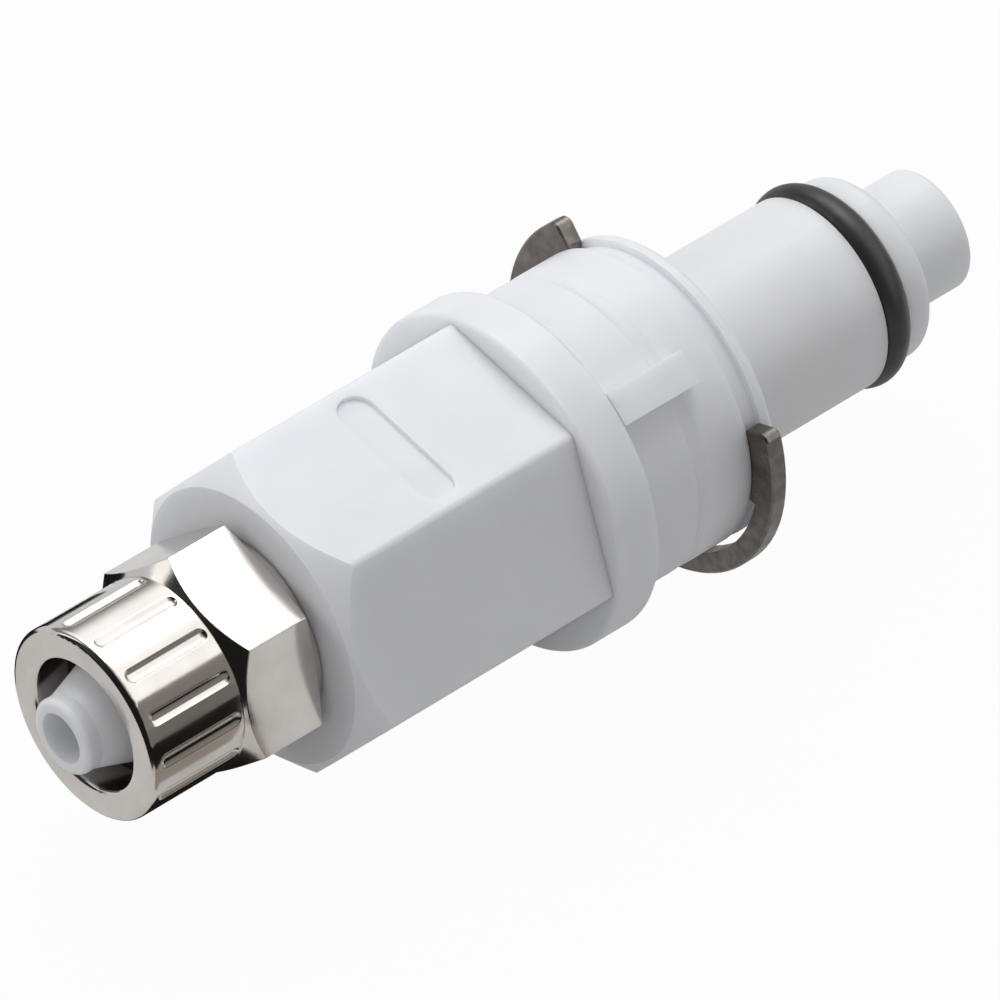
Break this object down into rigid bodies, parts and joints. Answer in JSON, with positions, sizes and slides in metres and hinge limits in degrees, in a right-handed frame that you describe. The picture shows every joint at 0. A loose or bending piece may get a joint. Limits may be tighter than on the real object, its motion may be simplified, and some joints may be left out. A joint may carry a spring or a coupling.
{
  "type": "plastic quick disconnect coupling",
  "caption": "Valved plastic quick disconnect insert with hexagonal body, keyed panel neck, snap clip, nose seal ring and a fluted metal nut for push-on tube.",
  "frame": {"origin": "on the coupling's axis, in the flange's front face, where the panel sits", "axes": "+X along the coupling's axis to the nose, -X to the tube, +Z out through the hexagon's label flat"},
  "size_m": [0.0588, 0.0198, 0.0194],
  "materials": {
    "white_acetal": "moulded natural acetal, translucent white, satin",
    "nickel_plated_brass": "bright nickel plating over turned brass",
    "stainless_steel": "stamped spring steel, dull grey-brown",
    "spring_steel": "drawn stainless wire",
    "black_nitrile": "black nitrile, lightly lubricated"
  },
  "bodies": {
    "coupling": {"tube_end_body": "white_acetal", "body_seal": "black_nitrile", "valve_housing": "white_acetal", "nose_seal": "black_nitrile", "retaining_clip": "stainless_steel", "valve_spring": "spring_steel"},
    "nut": {"compression_nut": "nickel_plated_brass"},
    "valve": {"valve_poppet": "white_acetal", "poppet_seal": "black_nitrile"}
  },
  "joints": [
    {"name": "nut_turn", "type": "hinge", "parent": "coupling", "child": "nut", "pos_m": [-0.02, 0, 0], "axis": [1, 0, 0], "continuous": true},
    {"name": "valve_push", "type": "slide", "parent": "coupling", "child": "valve", "axis": [-1, 0, 0], "range_m": [0, 0.003], "stiffness_N_per_m": 1100, "springref_m": -0.003, "deforming": ["valve_spring"]}
  ]
}
